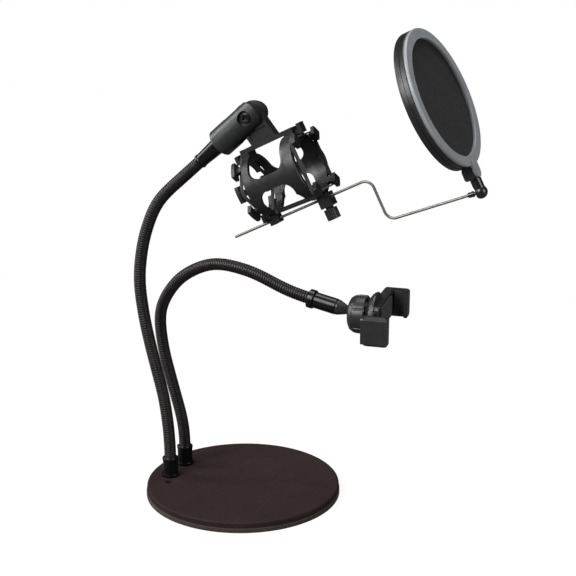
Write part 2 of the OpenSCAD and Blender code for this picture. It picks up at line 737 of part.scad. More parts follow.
// helical return spring along y, a five-sided wire swept round the coils
module clamp_spring() {
  coils = 7;
  steps = 12;    // per coil
  sides = 5;
  coil_r = 1.15;
  strand_r = 0.3;
  y0 = -9;
  y1 = 12.2;
  last = coils * steps;
  points = [for (i = [0:last], j = [0:sides - 1])
    let (a = 360 * i / steps, b = 360 * j / sides, r = coil_r + strand_r * cos(b))
    [rod_x + r * cos(a), y0 + (y1 - y0) * i / last + strand_r * sin(b), r * sin(a)]];
  // two triangles for each side of each step
  walls = [for (i = [0:last - 1], j = [0:sides - 1], half = [0, 1])
    let (k = (j + 1) % sides, near = i * sides, far = near + sides)
    half == 0 ? [near + j, near + k, far + k] : [near + j, far + k, far + j]];
  start_cap = [for (j = [sides - 1:-1:0]) j];
  end_cap = [for (j = [0:sides - 1]) last * sides + j];
  color([0.7, 0.7, 0.7]) clamp_frame()
    polyhedron(points = points, faces = concat([start_cap], walls, [end_cap]));
}
module lock_nut() {
  color(body_black) clamp_frame() difference() {
    rotate([0, 90, 0]) rotate_extrude($fn = 96) polygon([[8.4, -7.4], [9.6, -7.4], [12.2, -6],
      [13.9, -3.4], [14.5, -0.6], [14.5, 5.2], [13.8, 6], [10.7, 6], [10.7, -5.4], [8.4, -6.3]]);
    // grip grooves
    for (a = [0:60:300]) rotate([a, 0, 0]) x_bar(1.1, [-10, 0, 14.7], 20, $fn = 24);
  }
}

base_plate();
base_pad();
neck_screws();
foot_collar(mic_y);  // neck1_collar
foot_collar(phone_y);  // neck2_collar
neck1_section(1);  // neck1_section_1
neck1_section(2);  // neck1_section_2
neck1_section(3);  // neck1_section_3
neck1_section(4);  // neck1_section_4
neck1_section(5);  // neck1_section_5
neck1_section(6);  // neck1_section_6
neck1_section(7);  // neck1_section_7
neck1_section(8);  // neck1_section_8
neck2_section(1);  // neck2_section_1
neck2_section(2);  // neck2_section_2
neck2_section(3);  // neck2_section_3
neck2_section(4);  // neck2_section_4
neck2_section(5);  // neck2_section_5
neck2_section(6);  // neck2_section_6
neck2_section(7);  // neck2_section_7
neck2_section(8);  // neck2_section_8
neck1_sleeve();
clip_barrel();
thread_insert();
pivot_screw();
pivot_nut();
shock_cage();
rear_band();
front_band();
clamp_insert();
thumb_screw();
grip_bush();
wire_arm();
wire_ferrule();
ball_tip();
filter_stem();
rim_rear();
front_bezel();
spacer_ring();
rear_mesh();
front_mesh();
neck2_end_ring();
neck2_end_sleeve();
ball_stud();
ball_socket();
clamp_housing();
lock_nut();
clamp_cover();
cover_screws();
fixed_jaw_pad();
back_pad();
sliding_jaw();
sliding_jaw_pad();
guide_rods();
rod_bridge();
clamp_spring();
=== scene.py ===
# Desktop pop filter stand. A base plate near the floor (z = 0) carries two goosenecks side by
# side in y, both leaning towards +x: one ends at the microphone shock cage, one at the round
# filter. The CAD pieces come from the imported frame; this script gives them rounded edges,
# detailed skins and materials. Lengths are in millimetres unless a name says otherwise.
import bpy, bmesh, json, math
import numpy as np
from mathutils import Vector, Matrix
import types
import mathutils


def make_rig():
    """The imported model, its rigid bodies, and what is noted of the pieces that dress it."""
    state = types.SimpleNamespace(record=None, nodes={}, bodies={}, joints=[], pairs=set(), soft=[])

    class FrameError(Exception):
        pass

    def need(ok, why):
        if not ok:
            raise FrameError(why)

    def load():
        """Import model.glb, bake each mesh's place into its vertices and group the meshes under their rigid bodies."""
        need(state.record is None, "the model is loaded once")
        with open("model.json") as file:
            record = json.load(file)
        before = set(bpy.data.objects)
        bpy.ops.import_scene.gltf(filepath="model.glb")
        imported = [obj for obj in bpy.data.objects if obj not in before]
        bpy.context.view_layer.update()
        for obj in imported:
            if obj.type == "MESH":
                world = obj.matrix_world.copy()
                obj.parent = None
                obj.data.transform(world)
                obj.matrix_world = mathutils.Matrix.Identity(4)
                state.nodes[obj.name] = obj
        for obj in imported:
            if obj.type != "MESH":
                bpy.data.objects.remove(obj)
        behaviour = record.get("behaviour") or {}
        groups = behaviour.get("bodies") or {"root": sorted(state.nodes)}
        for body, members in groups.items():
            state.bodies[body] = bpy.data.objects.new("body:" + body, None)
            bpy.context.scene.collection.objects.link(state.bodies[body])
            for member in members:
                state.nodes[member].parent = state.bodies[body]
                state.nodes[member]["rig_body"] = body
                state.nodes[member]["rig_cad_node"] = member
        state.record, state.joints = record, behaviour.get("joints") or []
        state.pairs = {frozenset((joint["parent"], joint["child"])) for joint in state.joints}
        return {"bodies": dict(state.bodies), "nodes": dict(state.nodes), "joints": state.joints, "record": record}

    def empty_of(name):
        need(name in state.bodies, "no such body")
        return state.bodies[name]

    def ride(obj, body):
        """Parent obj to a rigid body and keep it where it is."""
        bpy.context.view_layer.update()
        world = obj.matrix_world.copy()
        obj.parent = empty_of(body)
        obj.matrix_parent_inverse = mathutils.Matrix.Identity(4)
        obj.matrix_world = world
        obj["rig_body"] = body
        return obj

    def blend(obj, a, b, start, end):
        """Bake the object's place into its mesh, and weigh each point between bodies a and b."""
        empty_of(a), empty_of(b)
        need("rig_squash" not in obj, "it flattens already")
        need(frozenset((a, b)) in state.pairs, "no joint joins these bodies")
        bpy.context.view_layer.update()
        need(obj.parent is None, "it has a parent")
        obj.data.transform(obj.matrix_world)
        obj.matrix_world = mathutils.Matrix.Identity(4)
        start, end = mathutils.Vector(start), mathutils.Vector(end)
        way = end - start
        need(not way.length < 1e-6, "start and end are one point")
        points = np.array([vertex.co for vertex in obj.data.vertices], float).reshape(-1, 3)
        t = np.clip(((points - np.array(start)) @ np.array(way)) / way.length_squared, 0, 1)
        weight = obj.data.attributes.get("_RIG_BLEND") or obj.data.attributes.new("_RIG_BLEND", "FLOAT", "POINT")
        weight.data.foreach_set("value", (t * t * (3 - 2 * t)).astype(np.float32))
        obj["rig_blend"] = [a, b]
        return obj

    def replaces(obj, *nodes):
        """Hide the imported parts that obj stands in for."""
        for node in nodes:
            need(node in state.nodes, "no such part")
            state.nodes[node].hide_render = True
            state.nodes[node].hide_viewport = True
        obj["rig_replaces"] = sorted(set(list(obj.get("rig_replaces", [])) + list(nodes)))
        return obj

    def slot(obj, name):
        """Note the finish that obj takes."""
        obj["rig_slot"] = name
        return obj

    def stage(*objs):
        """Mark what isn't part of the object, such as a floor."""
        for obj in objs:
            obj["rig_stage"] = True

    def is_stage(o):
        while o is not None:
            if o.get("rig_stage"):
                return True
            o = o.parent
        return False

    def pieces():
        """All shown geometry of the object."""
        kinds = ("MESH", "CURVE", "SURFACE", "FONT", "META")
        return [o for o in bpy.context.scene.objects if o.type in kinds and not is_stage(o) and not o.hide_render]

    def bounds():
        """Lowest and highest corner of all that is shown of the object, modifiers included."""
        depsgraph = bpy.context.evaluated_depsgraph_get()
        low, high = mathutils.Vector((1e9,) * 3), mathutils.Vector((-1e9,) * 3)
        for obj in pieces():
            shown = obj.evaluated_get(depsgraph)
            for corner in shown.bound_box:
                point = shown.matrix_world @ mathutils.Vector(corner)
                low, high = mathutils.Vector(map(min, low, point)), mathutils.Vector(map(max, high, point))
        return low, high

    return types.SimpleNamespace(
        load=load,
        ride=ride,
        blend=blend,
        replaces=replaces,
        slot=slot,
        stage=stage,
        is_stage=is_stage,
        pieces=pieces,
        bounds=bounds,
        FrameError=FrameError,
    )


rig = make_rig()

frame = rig.load()
cad_bounds = [list(v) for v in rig.bounds()]
nodes = frame["nodes"]
record = frame["record"]
joints = {j["name"]: j for j in frame["joints"]}
slot_of = {part["node"]: part["material_slot"] for part in record["subparts"]}
body_of = {node: body for body, members in record["behaviour"]["bodies"].items()
           for node in members}
MM = 0.001
rad = math.radians
scene = bpy.context.scene
scene.view_settings.view_transform = "Standard"

# ------------------------------------------------------------------ driving dimensions
WIRE_OFFSET = 26.8        # cage axis to the straight part of the wire
FILTER_ARM = 68.4         # tilt ball to filter centre
FILTER_SET_BACK = 0.3     # filter centre behind the swivel axis
FILTER_TURN = 2.6         # degrees, about the filter's own x
NECK_FOOT = (-57.5, 24.0)               # x, z where both necks start
NECK_Y = 12.8                           # each neck's distance from the middle plane
NECK_RADIUS = 4.68
REAR_HOOK_RADIUS, FRONT_HOOK_RADIUS = 23.5, 25.5   # of the elastic bands, about the cage axis


# ------------------------------------------------------------------ places
def unit(v):
    v = np.array(v, float)
    return v / np.linalg.norm(v)


def place(origin, z, x):
    """Matrix with local z and x along the given directions, at origin."""
    z, x = unit(z), unit(x)
    matrix = Matrix.Identity(4)
    for i, column in enumerate((x, np.cross(z, x), z, origin)):
        for row in range(3):
            matrix[row][i] = column[row]
    return matrix


def to_world(matrix, points):
    """Local points in millimetres to world points in metres."""
    m = np.array(matrix)
    return (np.array(points) * MM) @ m[:3, :3].T + m[:3, 3]


mic_axis = unit(joints["wire_slide"]["axis"])
mic_up = np.array([-mic_axis[2], 0, mic_axis[0]])
cage_centre = (np.array(joints["wire_roll"]["pos_m"]) - 24 * MM * mic_axis
               + WIRE_OFFSET * MM * mic_up)
cage_frame = place(cage_centre, mic_axis, -mic_up)

filter_up = unit(joints["filter_swivel"]["axis"])
filter_facing = np.array([filter_up[2], 0, -filter_up[0]])
filter_centre = (np.array(joints["filter_tilt"]["pos_m"]) + FILTER_ARM * MM * filter_up
                 - FILTER_SET_BACK * MM * filter_facing)
filter_frame = (place(filter_centre, filter_facing, -filter_up)
                @ Matrix.Translation((0, 0, FILTER_SET_BACK * MM))
                @ Matrix.Rotation(rad(FILTER_TURN), 4, "X")
                @ Matrix.Translation((0, 0, -FILTER_SET_BACK * MM)))


# ------------------------------------------------------------------ material helpers
class Shader:
    """Wires up a node material. Feature sizes (mm) are in millimetres."""

    def __init__(self, name):
        self.material = bpy.data.materials.new(name)
        self.material.use_nodes = True
        self.tree = self.material.node_tree
        self.tree.nodes.clear()
        self.output = self.node("ShaderNodeOutputMaterial")
        self.bsdf = self.node("ShaderNodeBsdfPrincipled")
        self.feed(self.output.inputs[0], self.bsdf.outputs[0])
        self.coords = self.node("ShaderNodeTexCoord").outputs["Object"]

    def node(self, kind, **props):
        node = self.tree.nodes.new(kind)
        for key, value in props.items():
            setattr(node, key, value)
        return node

    def feed(self, socket, value):
        """Link an output to the socket, or set the socket to a plain value."""
        if hasattr(value, "is_output"):
            self.tree.links.new(value, socket)
        else:
            socket.default_value = value

    def noise(self, mm, detail=4, rough=0.55, vector=None):
        node = self.node("ShaderNodeTexNoise")
        self.feed(node.inputs["Vector"], vector or self.coords)
        node.inputs["Scale"].default_value = 1000.0 / mm
        node.inputs["Detail"].default_value = detail
        node.inputs["Roughness"].default_value = rough
        return node.outputs["Fac"]

    def remap(self, value, span=(0.3, 0.7), to=(0.0, 1.0)):
        node = self.node("ShaderNodeMapRange")
        self.feed(node.inputs["Value"], value)
        node.inputs["From Min"].default_value, node.inputs["From Max"].default_value = span
        node.inputs["To Min"].default_value, node.inputs["To Max"].default_value = to
        return node.outputs[0]

    def patches(self, mm, detail=4, rough=0.55, span=(0.3, 0.7), to=(0.0, 1.0)):
        """Noise with its span stretched to a new range."""
        return self.remap(self.noise(mm, detail, rough), span, to)

    def math(self, operation, a, b=0.0, clamp=False):
        node = self.node("ShaderNodeMath", operation=operation, use_clamp=clamp)
        for socket, value in zip(node.inputs, (a, b, 0.0)):
            self.feed(socket, value)
        return node.outputs[0]

    def add(self, a, b, clamp=False):
        return self.math("ADD", a, b, clamp)

    def times(self, a, b, clamp=False):
        return self.math("MULTIPLY", a, b, clamp)

    def mix(self, factor, a, b, amount=None):
        """Colour a to colour b by factor, which amount scales down if given."""
        if amount is not None:
            factor = self.times(factor, amount)
        node = self.node("ShaderNodeMix", data_type="RGBA")
        self.feed(node.inputs[0], factor)
        for i, color in ((6, a), (7, b)):
            self.feed(node.inputs[i], (*color, 1) if isinstance(color, tuple) else color)
        return node.outputs[2]

    def dot(self, a, b):
        node = self.node("ShaderNodeVectorMath", operation="DOT_PRODUCT")
        self.feed(node.inputs[0], a)
        self.feed(node.inputs[1], b)
        return node.outputs["Value"]

    def edge(self, mm, gain=6.0, threshold=0.3):
        """1 along sharp edges, 0 on flats."""
        bevel = self.node("ShaderNodeBevel", samples=4)
        bevel.inputs["Radius"].default_value = mm * MM
        geometry = self.node("ShaderNodeNewGeometry")
        facing = self.dot(bevel.outputs[0], geometry.outputs["Normal"])
        bend = self.times(self.math("SUBTRACT", 1.0, facing), gain)
        return self.math("SUBTRACT", bend, threshold, clamp=True)

    def bump(self, height, depth, strength=1.0):
        node = self.node("ShaderNodeBump")
        node.inputs["Distance"].default_value = depth * MM
        node.inputs["Strength"].default_value = strength
        self.feed(node.inputs["Height"], height)
        return node.outputs[0]

    def surface(self, color, roughness, values, normal=None):
        """Feed the Principled shader; values holds its other inputs by name."""
        self.feed(self.bsdf.inputs["Base Color"], color)
        self.feed(self.bsdf.inputs["Roughness"], roughness)
        for key, value in values.items():
            self.bsdf.inputs[key].default_value = value
        if normal is not None:
            self.feed(self.bsdf.inputs["Normal"], normal)
        return self.material


def tint(color, factor, lift=0.0):
    return tuple(x * factor + lift for x in color)


# ------------------------------------------------------------------ materials
def plastic(name, color, rough, grain_depth=0.003, drift=0.16, gloss_drift=0.14,
            wear_and_highlight=0.3, worn_and_highlit=2.2, specular=0.5, coat=0.0):
    """Moulded plastic: soft colour drift, fine grain, uneven gloss, lighter edges that are part scuffing, part painted
    highlight.

    worn_and_highlit is how many times lighter those edges are, wear_and_highlight how strongly they show."""
    sh = Shader(name)
    base = sh.mix(sh.patches(mm=9, detail=3), tint(color, 1 - drift), tint(color, 1 + drift))
    speck = sh.noise(mm=0.9, detail=6, rough=0.7)
    # Lighter edges: part scuffing, part painted highlight along the edges.
    rubbed_and_highlit = sh.times(sh.edge(mm=0.35), sh.remap(speck, span=(0.35, 0.65)))
    base = sh.mix(sh.times(rubbed_and_highlit, wear_and_highlight, clamp=True), base, tint(color, worn_and_highlit, lift=0.02))
    gloss = sh.patches(mm=9 * 0.45, detail=5, rough=0.6, span=(0.25, 0.75),
                       to=(rough - gloss_drift / 2, rough + gloss_drift / 2))
    return sh.surface(
        base, sh.add(gloss, sh.remap(speck, to=(-0.03, 0.03)), clamp=True),
        {"Specular IOR Level": specular, "Coat Weight": coat, "Coat Roughness": 0.12},
        sh.bump(sh.noise(mm=0.35, detail=3, rough=0.6), grain_depth))


def powder_coat(name, color):
    """Textured powder coat: tiny rounded grains over broad cloudy mottling."""
    sh = Shader(name)
    grains = sh.node("ShaderNodeTexVoronoi", feature="F1")
    sh.feed(grains.inputs["Vector"], sh.coords)
    grains.inputs["Scale"].default_value = 1000 / 0.75
    cloud = sh.patches(mm=26, detail=6, rough=0.62, span=(0.3, 0.72), to=(0, 0.62))
    fine = sh.patches(mm=2.6, detail=5, rough=0.65, to=(0, 0.38))
    base = sh.mix(sh.add(cloud, fine, clamp=True), tint(color, 0.72), tint(color, 1.32))
    # Painted highlight, part scuffing: every edge is lightened evenly.
    base = sh.mix(sh.edge(mm=0.8, gain=4), base, tint(color, 1.9), amount=0.3)
    height = sh.add(sh.times(grains.outputs["Distance"], -0.7),
                    sh.times(sh.noise(mm=1.6), 0.6))
    return sh.surface(base, sh.patches(mm=5, to=(0.66, 0.86)), {"Specular IOR Level": 0.12},
                      sh.bump(height, depth=0.10, strength=0.8))


def rubber(name, color, rough):
    """Matt rubber or foam with scattered pale flecks."""
    sh = Shader(name)
    base = sh.mix(sh.patches(mm=4, detail=6, rough=0.7), tint(color, 0.7), tint(color, 1.35))
    flecks = sh.patches(mm=0.35, detail=2, span=(0.56, 0.7))
    base = sh.mix(flecks, base, tint(color, 2.4), amount=0.4)
    return sh.surface(base, sh.patches(mm=1.2, to=(rough - 0.1, rough + 0.08)),
                      {"Specular IOR Level": 0.3, "Sheen Weight": 0.08},
                      sh.bump(sh.noise(mm=0.45, rough=0.7), depth=0.05))


def metal(name, color, rough, tarnish=0.2, line_depth=0.006):
    """Drawn or turned metal: fine surface texture and slight tarnish."""
    sh = Shader(name)
    stains = sh.patches(mm=6, detail=5, rough=0.65, span=(0.35, 0.75))
    base = sh.mix(stains, color, tint(color, 0.45), amount=tarnish)
    mapping = sh.node("ShaderNodeMapping")
    sh.feed(mapping.inputs["Vector"], sh.coords)
    lines = sh.noise(mm=0.5, detail=3, rough=0.5, vector=mapping.outputs[0])
    gloss = sh.add(sh.patches(mm=2.5, to=(rough - 0.07, rough + 0.1)),
                   sh.remap(lines, to=(-0.03, 0.05)), clamp=True)
    return sh.surface(base, gloss, {"Metallic": 1.0}, sh.bump(lines, line_depth))


def spring_wire(name):
    """Black plated spring wire: faint brown cast, valleys duller and darkened as painted shade, crests lighter from
    rubbing.
    """
    sh = Shader(name)
    valley = sh.node("ShaderNodeAttribute", attribute_name="valley").outputs["Fac"]
    base = sh.mix(sh.patches(mm=7), (0.0060, 0.0044, 0.0042), (0.0112, 0.0083, 0.0080))
    # Painted shade: the valleys between the coils are darkened.
    base = sh.mix(valley, base, (0.004, 0.004, 0.004), amount=0.6)
    crest = sh.times(sh.math("SUBTRACT", 1.0, valley),
                     sh.patches(mm=1.1, detail=6, rough=0.75, span=(0.45, 0.75)), clamp=True)
    base = sh.mix(crest, base, (0.038, 0.032, 0.030), amount=0.22)
    gloss = sh.add(sh.patches(mm=3, detail=5, to=(0.30, 0.42)), sh.times(valley, 0.3),
                   clamp=True)
    return sh.surface(
        base, gloss,
        {"Specular IOR Level": 0.22, "Coat Weight": 0.05, "Coat Roughness": 0.15},
        sh.bump(sh.noise(mm=0.25, detail=3), depth=0.004))


def knitted_nylon(name, color, pitch, directions):
    """Fine knitted nylon: threads crossing along two directions, slight sheen."""
    sh = Shader(name)
    across, along = [
        sh.math("SINE", sh.times(sh.dot(sh.coords, direction), 2 * math.pi / (pitch * MM)))
        for direction in directions]
    base = sh.mix(sh.patches(mm=16, rough=0.6), tint(color, 0.78), tint(color, 1.25))
    crossing = sh.remap(sh.times(across, along), span=(-1, 1), to=(0.0, 0.55))
    base = sh.mix(crossing, base, tint(color, 0.35))
    threads = sh.add(sh.math("ABSOLUTE", across), sh.math("ABSOLUTE", along))
    height = sh.add(sh.times(threads, 0.5), sh.times(sh.noise(mm=0.3, detail=2), 0.35))
    return sh.surface(
        base, sh.patches(mm=1.5, detail=3, to=(0.72, 0.92)),
        {"Specular IOR Level": 0.3, "Sheen Weight": 0.04, "Sheen Roughness": 0.4},
        sh.bump(height, depth=0.06))


def braided_elastic(name):
    """Braided elastic: short diagonal stitches, matt and slightly hairy."""
    sh = Shader(name)
    wave = sh.node("ShaderNodeTexWave", wave_type="BANDS", bands_direction="DIAGONAL")
    sh.feed(wave.inputs["Vector"], sh.coords)
    wave.inputs["Scale"].default_value = 1000 / 4.2
    wave.inputs["Distortion"].default_value = 1.2
    stitches = wave.outputs["Fac"]
    base = sh.mix(stitches, (0.006, 0.006, 0.0065), (0.024, 0.024, 0.026))
    base = sh.mix(sh.patches(mm=0.4, span=(0.5, 0.75)), base, (0.06, 0.06, 0.062), amount=0.35)
    return sh.surface(base, sh.patches(mm=1, detail=3, to=(0.72, 0.92)),
                      {"Sheen Weight": 0.25},
                      sh.bump(sh.add(stitches, sh.noise(mm=0.3, detail=3)), depth=0.05))


MATERIALS = {
    "base_coat": powder_coat("powder_coat", (0.0185, 0.0110, 0.0104)),
    "base_pad": rubber("foam_pad", (0.030, 0.0195, 0.018), rough=0.85),
    "steel": metal("zinc_steel", (0.52, 0.52, 0.54), rough=0.32),
    "collar_black": plastic("gloss_black_collar", (0.0028, 0.0024, 0.0026), rough=0.26,
                            grain_depth=0.004, gloss_drift=0.1, wear_and_highlight=0.22, worn_and_highlit=6,
                            specular=0.28),
    "gooseneck": spring_wire("spring_wire"),
    "clip_plastic": plastic("satin_clip", (0.0130, 0.0142, 0.0152), rough=0.40,
                            grain_depth=0.0035),
    "brass": metal("turned_brass", (0.30, 0.215, 0.11), rough=0.34, tarnish=0.4),
    "screw_black": metal("black_oxide", (0.060, 0.060, 0.064), rough=0.27, tarnish=0.3,
                         line_depth=0.002),
    "cage_plastic": plastic("satin_cage", (0.0082, 0.0078, 0.0086), rough=0.40,
                            grain_depth=0.0035, wear_and_highlight=0.35),
    "elastic": braided_elastic("braided_elastic"),
    "wire_chrome": metal("nickel_wire", (0.215, 0.203, 0.192), rough=0.50,
                         line_depth=0.0004),
    "ball_black": plastic("polished_black", (0.0085, 0.0080, 0.0084), rough=0.28,
                          grain_depth=0.0015, coat=0.1),
    "rim_black": plastic("satin_rim", (0.0085, 0.0078, 0.0080), rough=0.36),
    # Painted reflection: the bezel is taken for satin black plastic that mirrors a light box, and its grey base colour
    # stands in for that reflection.
    "bezel_grey": plastic("bezel_painted_reflection", (0.212, 0.223, 0.233), rough=0.42, drift=0.08,
                          wear_and_highlight=0.25, worn_and_highlit=1.5),
    "mesh_fabric": knitted_nylon("knitted_nylon", (0.0120, 0.0120, 0.0135), pitch=0.62,
                                 directions=(tuple(filter_up), (0, 1, 0))),
    "clamp_plastic": plastic("satin_clamp", (0.0150, 0.0147, 0.0150), rough=0.36),
    "grip_rubber": rubber("soft_grip", (0.014, 0.014, 0.014), rough=0.8),
}


def set_material(obj, material):
    obj.data.materials.clear()
    obj.data.materials.append(material)


for node, obj in nodes.items():
    set_material(obj, MATERIALS[slot_of[node]])


# ------------------------------------------------------------------ mesh helpers
def add_object(name, mesh, slot):
    obj = bpy.data.objects.new(name, mesh)
    scene.collection.objects.link(obj)
    set_material(obj, MATERIALS[slot])
    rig.slot(obj, slot)
    return obj


def new_mesh(name, points, faces, slot):
    """Smooth-shaded object from world points in metres."""
    mesh = bpy.data.meshes.new(name)
    mesh.from_pydata([tuple(p) for p in points], [], [tuple(f) for f in faces])
    mesh.validate()
    mesh.update()
    mesh.shade_smooth()
    return add_object(name, mesh, slot)


def grid_faces(rings, count, closed=False):
    """Quads between rings of count points; closed joins the last ring to the first."""
    faces = []
    for i in range(rings if closed else rings - 1):
        here, there = i * count, (i + 1) % rings * count
        for j in range(count):
            k = (j + 1) % count
            faces.append((here + j, here + k, there + k, there + j))
    return faces


def fan(apex, first, count, flip=False):
    """Triangles from the apex to the ring that starts at index first."""
    pairs = [(first + j, first + (j + 1) % count) for j in range(count)]
    return [(apex, b, a) if flip else (apex, a, b) for a, b in pairs]


def face_outwards(obj, merge=False):
    bm = bmesh.new()
    bm.from_mesh(obj.data)
    if merge:
        bmesh.ops.remove_doubles(bm, verts=bm.verts, dist=1e-7)
    bmesh.ops.recalc_face_normals(bm, faces=bm.faces)
    bm.to_mesh(obj.data)
    bm.free()
    obj.data.shade_smooth()


def smoothstep(t):
    return t * t * (3 - 2 * t)


# ------------------------------------------------------------------ goosenecks
NECK_STEP = 0.24          # between rings along the neck
NECK_SIDES = 40
NECK_LEAD = 5.0           # straight length at each end of a section
COIL_PITCH, COIL_DEPTH = 1.9, 0.62
ROOT_OVERLAP = 1.6        # skin below the foot
JOINT_BALL_RADIUS = 4.3
LAST_JOINT = 7
# These joints turn in two directions at once, so the skin parts there and a ball fills the gap.
SPLIT_JOINTS = (4, 5, 7)


def neck_centreline(section, turns):
    """Samples along the neck: length along it, x, z and lean from vertical in degrees."""
    stretches = []
    for turn in turns:
        stretches += [(NECK_LEAD, 0.0), (section - 2 * NECK_LEAD, turn), (NECK_LEAD, 0.0)]
    point, along, lean = np.array(NECK_FOOT), 0.0, 0.0
    path = [(along, *point, lean)]
    for length, turn in stretches:
        count = round(length / NECK_STEP)
        bend, advance = turn / count, length / count
        for _ in range(count):
            middle = rad(lean + bend / 2)
            point = point + advance * np.array([math.sin(middle), math.cos(middle)])
            lean += bend
            along += advance
            path.append((along, *point, lean))
    along, x, z, lean = np.array(path).T

    # A wound tube has no sudden change of bend, so the lean is averaged over its surroundings.
    reach = int(20 / NECK_STEP)
    kernel = np.hanning(2 * reach + 1)
    kernel /= kernel.sum()
    lean = np.convolve(np.pad(lean, reach, mode="edge"), kernel, mode="valid")
    middle = np.radians((lean[1:] + lean[:-1]) / 2)
    pull = smoothstep(along / along[-1])

    def trace(direction, true):
        """Follow the smoothed lean, pulled back onto the true end point."""
        line = true[0] + np.concatenate([[0.0], np.cumsum(np.diff(along) * direction)])
        return line + pull * (true[-1] - line[-1])

    return along, trace(np.sin(middle), x), trace(np.cos(middle), z), lean


def add_valley(obj, values):
    """How deep each point lies between the coils, 0 on the crest; the spring wire shader darkens the valleys by it as
    painted shade.
    """
    attribute = obj.data.attributes.new("valley", "FLOAT", "POINT")
    attribute.data.foreach_set("value", values.astype(np.float32))


def neck_skin(name, line, y, start, end, cap_start, cap_end):
    """Wound wire skin between two lengths along the neck."""
    along, line_x, line_z, line_lean = line
    steps = math.ceil((end - start) / NECK_STEP)
    s = np.linspace(start, end, steps + 1)
    lean = np.radians(np.interp(s, along, line_lean))
    # Straight on past the top end, straight down below the foot.
    beyond = np.maximum(s - along[-1], 0)
    x = np.interp(s, along, line_x) + beyond * math.sin(lean[-1])
    z = np.interp(s, along, line_z) + beyond * math.cos(lean[-1]) + np.minimum(s, 0)

    around = np.linspace(0, 2 * math.pi, NECK_SIDES, endpoint=False)
    phase = s[:, None] / COIL_PITCH - around[None, :] / (2 * math.pi)
    valley = (1 - np.abs(np.cos(math.pi * phase))) ** 2.6
    radius = NECK_RADIUS - COIL_DEPTH * valley
    out = np.cos(around) * radius
    points = np.stack([x[:, None] + out * np.cos(lean)[:, None],
                       y + np.sin(around) * radius,
                       z[:, None] - out * np.sin(lean)[:, None]], -1).reshape(-1, 3)
    faces = grid_faces(steps + 1, NECK_SIDES)
    if cap_start:
        faces += fan(len(points), 0, NECK_SIDES, flip=True)
        points = np.vstack([points, [x[0], y, z[0]]])
    if cap_end:
        faces += fan(len(points), steps * NECK_SIDES, NECK_SIDES)
        points = np.vstack([points, [x[-1], y, z[-1]]])
    obj = new_mesh(name, points * MM, faces, "gooseneck")
    # Caps count as full valley and take the full painted shade.
    caps = np.ones(len(points) - valley.size)
    add_valley(obj, np.concatenate([valley.reshape(-1), caps]))
    return obj


def joint_ball(name, centre):
    rings, sides = 15, 32
    polar = np.linspace(0, math.pi, rings + 2)[1:-1, None]
    around = np.linspace(0, 2 * math.pi, sides, endpoint=False)
    points = np.stack([np.sin(polar) * np.cos(around), np.sin(polar) * np.sin(around),
                       np.cos(polar) + 0 * around], -1).reshape(-1, 3)
    points = np.vstack([points, [[0, 0, 1], [0, 0, -1]]]) * JOINT_BALL_RADIUS * MM + centre
    pole = rings * sides
    faces = (grid_faces(rings, sides) + fan(pole, 0, sides, flip=True)
             + fan(pole + 1, (rings - 1) * sides, sides))
    obj = new_mesh(name, points, faces, "gooseneck")
    # Half valley everywhere: the ball takes half the painted shade.
    add_valley(obj, np.full(len(points), 0.5))
    return obj


def neck(number, y, section, turns, end_pad):
    """One gooseneck, its skin cut into a piece per joint so that each bends across it.

    section is the length between joints, turns the bend of each section in degrees,
    end_pad the skin past the top end."""
    line = neck_centreline(section, turns)
    along, line_x, line_z, _ = line

    def spot(s):
        return (np.interp(s, along, line_x) * MM, y * MM, np.interp(s, along, line_z) * MM)

    for k in range(1, LAST_JOINT + 1):
        first, last = k == 1, k == LAST_JOINT
        start = -ROOT_OVERLAP if first else section * (k - 0.5)
        end = along[-1] + end_pad if last else section * (k + 0.5)
        below = "root" if first else f"neck{number}_link_{k}"
        above = f"neck{number}_link_{k + 1}"
        skin = f"neck{number}_skin_{k}"
        if k in SPLIT_JOINTS:
            lower = neck_skin(skin + "a", line, y, start, section * k, False, True)
            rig.ride(lower, below)
            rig.replaces(lower, f"neck{number}_section_{k}")
            upper = neck_skin(skin + "b", line, y, section * k, end, True, last)
            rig.ride(upper, above)
            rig.replaces(upper, f"neck{number}_section_{k + 1}")
        else:
            piece = neck_skin(skin, line, y, start, end, first, False)
            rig.blend(piece, below, above, start=spot(section * 0.5 if first else start),
                     end=spot(end))
            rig.replaces(piece, f"neck{number}_section_{k}")
    for k in SPLIT_JOINTS:
        ball = joint_ball(f"neck{number}_joint_{k}", np.array(spot(section * k)))
        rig.ride(ball, f"neck{number}_link_{k + 1}")


neck(1, y=-NECK_Y, section=32.5, turns=[-6.5, -8.5, 2, 6, 16, 13, 27, -0.5], end_pad=1.2)
neck(2, y=NECK_Y, section=32.9, turns=[-15.5, 0.5, 9.5, 39.5, 28.5, 35, 15.5, -12],
     end_pad=1.4)

# ------------------------------------------------------------------ elastic bands
BAND_THICKNESS = 1.2
BAND_NARROW = 2.9         # width where it bears on a hook
BAND_RIBS, RIB_HEIGHT = 5, 0.16
BAND_COLUMNS = 22         # points across each face


def band_path(half, corner):
    """Rounded square: x, y and outward direction in degrees."""
    side = half - corner
    path = []
    for quarter in (0, 90, 180, 270):
        c, s = math.cos(rad(quarter)), math.sin(rad(quarter))
        stretch = [(half, t, 0) for t in np.linspace(-side, side, 46)[:-1]]
        stretch += [(side + corner * math.cos(rad(b)), side + corner * math.sin(rad(b)), b)
                    for b in np.linspace(0, 90, 13)[:-1]]
        path += [(x * c - y * s, x * s + y * c, quarter + b) for x, y, b in stretch]
    return path


def band_section(width):
    """Closed ribbed outline: across the band, outwards."""
    outline = []
    for face in (1, -1):
        for i in range(BAND_COLUMNS):
            u = (-1 + 2 * i / (BAND_COLUMNS - 1)) * face
            edge = math.sqrt(max(0.0, 1 - abs(u) ** 6))
            rib = RIB_HEIGHT * abs(math.sin(math.pi * BAND_RIBS * (u + 1) / 2))
            outline.append((u * width / 2,
                            face * (BAND_THICKNESS / 2 - 0.14 + rib) * edge))
    return outline


